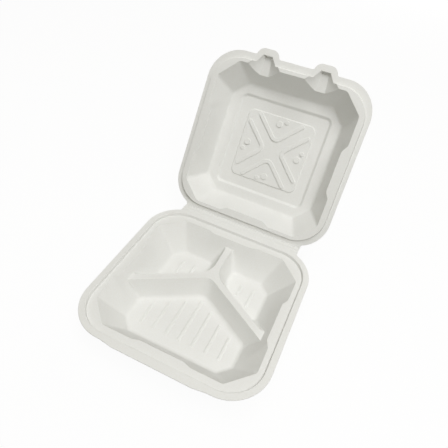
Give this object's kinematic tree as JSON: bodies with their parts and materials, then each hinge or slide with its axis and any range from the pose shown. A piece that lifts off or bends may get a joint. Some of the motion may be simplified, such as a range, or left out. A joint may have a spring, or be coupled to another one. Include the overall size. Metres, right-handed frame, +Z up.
{
  "type": "hinged food box",
  "caption": "Moulded plant-fibre lunch box with a compartmented tray and a hinged lid, standing open.",
  "frame": {"origin": "middle of the tray's underside, on the table", "axes": "+X along the hinge, +Y from the tray's front edge to the hinge, +Z up"},
  "size_m": [0.23, 0.3676, 0.2363],
  "materials": {
    "fibre": "matte moulded plant fibre, off-white"
  },
  "bodies": {
    "tray": {"tray": "fibre", "hinge_web": "fibre"},
    "lid": {"lid": "fibre"}
  },
  "joints": [
    {"name": "lid_hinge", "type": "hinge", "parent": "tray", "child": "lid", "pos_m": [0, 0.11686, 0.03666], "axis": [1, 0, 0], "range_deg": [-54, 122.7], "deforming": ["hinge_web"]}
  ]
}
